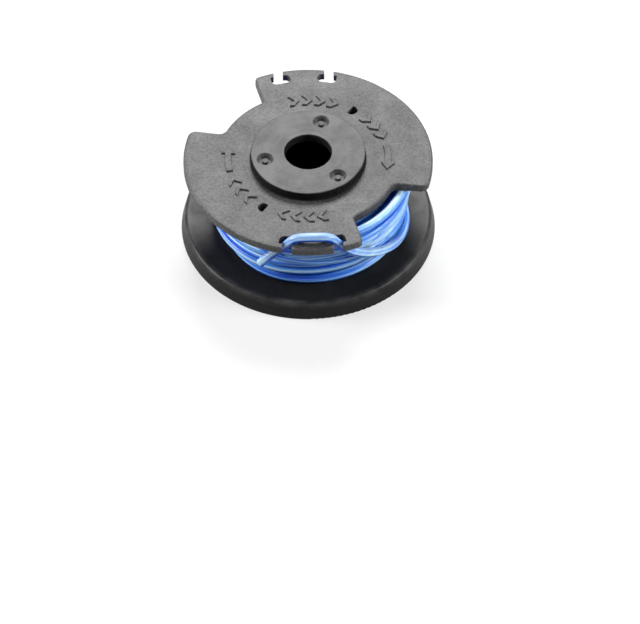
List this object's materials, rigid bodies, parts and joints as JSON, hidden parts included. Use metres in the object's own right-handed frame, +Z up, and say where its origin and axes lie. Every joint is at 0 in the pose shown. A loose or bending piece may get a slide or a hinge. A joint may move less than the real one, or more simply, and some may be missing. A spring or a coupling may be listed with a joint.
{
  "type": "trimmer line spool",
  "caption": "Flanged plastic spool for an auto-feed grass trimmer, wound with round cutting line whose looped end is parked in keyhole notches of the upper flange.",
  "frame": {"origin": "on the axis of the bore, at the level of the flat face that the spool stands on", "axes": "+Z up along the bore towards the raised disc; -Y towards the tab over which the line's looped end is parked"},
  "size_m": [0.0568, 0.0568, 0.0247],
  "materials": {
    "spool_plastic": "moulded grey plastic, fine sparked grain on the upper flange and smoother on the disc and the lower flange",
    "cutting_line": "translucent blue extruded line, glossy"
  },
  "bodies": {
    "root": {"spool_body": "spool_plastic", "trimmer_line": "cutting_line"}
  },
  "joints": []
}
